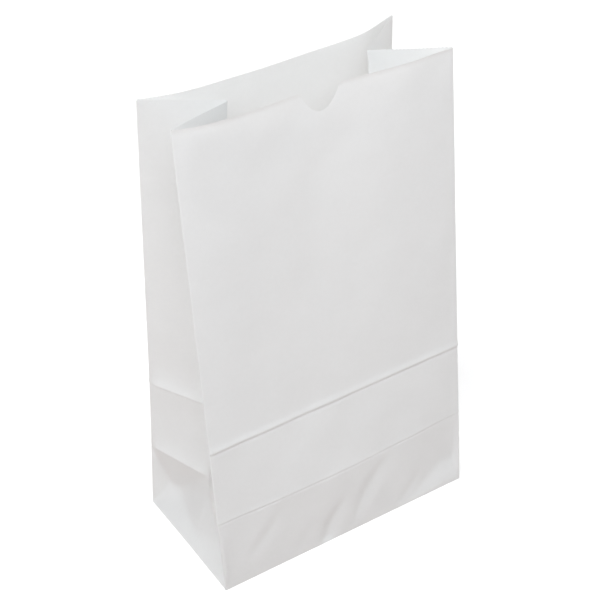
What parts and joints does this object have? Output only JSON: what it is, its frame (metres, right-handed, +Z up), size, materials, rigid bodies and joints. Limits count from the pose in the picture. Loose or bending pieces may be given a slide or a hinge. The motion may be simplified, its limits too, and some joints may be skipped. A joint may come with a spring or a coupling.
{
  "type": "paper grocery bag",
  "caption": "Open, free-standing white paper grocery bag with a flat bottom, pleated side gussets, crease lines from flat packing and a thumb notch in the front edge.",
  "frame": {"origin": "middle of the flat bottom, at the surface the bag stands on", "axes": "+Z up through the mouth, the notched front panel faces -Y, +X to the right along the front panel seen from the front"},
  "size_m": [0.2576, 0.1342, 0.4308],
  "materials": {
    "paper": "matte uncoated white paper, faintly mottled"
  },
  "bodies": {
    "root": {"paper_bag": "paper"}
  },
  "joints": []
}
